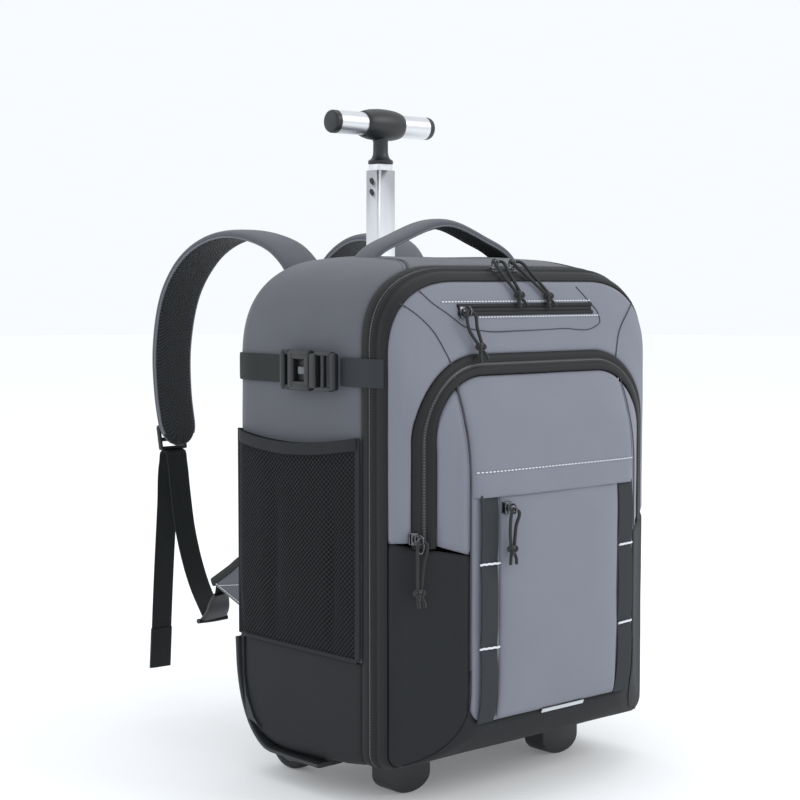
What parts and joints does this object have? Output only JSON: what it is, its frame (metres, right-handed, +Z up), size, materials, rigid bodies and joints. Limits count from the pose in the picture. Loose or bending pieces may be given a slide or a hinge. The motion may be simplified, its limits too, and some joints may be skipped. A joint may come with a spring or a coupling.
{
  "type": "wheeled backpack",
  "caption": "Soft wheeled backpack with a telescoping T handle, a zipped front compartment, side net pockets and padded shoulder straps.",
  "frame": {"origin": "middle of the base of the overall box, at the height of the floor that the bag stands on", "axes": "+X from the bag's left to its right as seen from the front, +Y towards its back, +Z up"},
  "size_m": [0.3654, 0.4966, 0.6357],
  "materials": {
    "grey": "matt soft-shell cloth",
    "front_grey": "matt soft-shell cloth",
    "black": "matt cloth",
    "tape": "zipper tape",
    "webbing": "woven webbing",
    "net": "knitted net",
    "plastic": "moulded",
    "rubber": "matt",
    "aluminium": "satin",
    "slider": "gunmetal",
    "cord": "braided"
  },
  "bodies": {
    "bag": {"rear_shell": "grey", "rear_base": "black", "main_zipper": "tape", "front_gusset": "front_grey", "front_zipper": "tape", "front_panel": "front_grey", "front_base": "black", "front_flap": "front_grey", "front_pouch": "front_grey", "front_webbing_left": "webbing", "front_webbing_right": "webbing", "top_pocket_zipper": "tape", "grab_handle": "grey", "grab_handle_lining": "net", "back_panel": "net", "mesh_pocket_left": "net", "mesh_pocket_right": "net", "side_strap_rear_left": "webbing", "side_strap_rear_right": "webbing", "side_strap_front_left": "webbing", "side_strap_front_right": "webbing", "buckle_socket_left": "plastic", "buckle_socket_right": "plastic", "buckle_plug_left": "plastic", "buckle_plug_right": "plastic", "wheel_housing_left": "plastic", "wheel_housing_right": "plastic", "foot_left": "plastic", "foot_right": "plastic", "shoulder_strap_left": "grey", "shoulder_strap_right": "grey", "strap_adjuster_left": "plastic", "strap_adjuster_right": "plastic", "strap_webbing_left": "webbing", "strap_webbing_right": "webbing", "strap_tab_left": "grey", "strap_tab_right": "grey", "strap_buckle_left": "plastic", "strap_buckle_right": "plastic", "pole_outer": "aluminium", "main_slider_left": "slider", "main_slider_right": "slider", "top_pocket_slider": "slider", "front_slider": "slider", "pouch_slider": "slider", "main_pull_left": "cord", "main_pull_right": "cord", "top_pocket_pull": "cord", "front_pull": "cord", "pouch_pull": "cord"},
    "middle_stage": {"pole_middle": "aluminium"},
    "handle_stage": {"pole_inner": "aluminium", "handle_hub": "plastic", "handle_grip": "aluminium", "grip_cap_left": "plastic", "grip_cap_right": "plastic"},
    "wheel_left": {"tyre_left": "rubber", "hub_left": "plastic"},
    "wheel_right": {"tyre_right": "rubber", "hub_right": "plastic"}
  },
  "joints": [
    {"name": "middle_stage_slide", "type": "slide", "parent": "bag", "child": "middle_stage", "axis": [0, 0, 1], "range_m": [-0.084, 0.166]},
    {"name": "handle_stage_slide", "type": "slide", "parent": "middle_stage", "child": "handle_stage", "axis": [0, 0, 1], "range_m": [-0.005, 0.245]},
    {"name": "wheel_left_spin", "type": "hinge", "parent": "bag", "child": "wheel_left", "pos_m": [-0.126, -0.00656, 0.02942], "axis": [1, 0, 0], "continuous": true},
    {"name": "wheel_right_spin", "type": "hinge", "parent": "bag", "child": "wheel_right", "pos_m": [0.126, -0.00656, 0.02942], "axis": [1, 0, 0], "continuous": true}
  ]
}
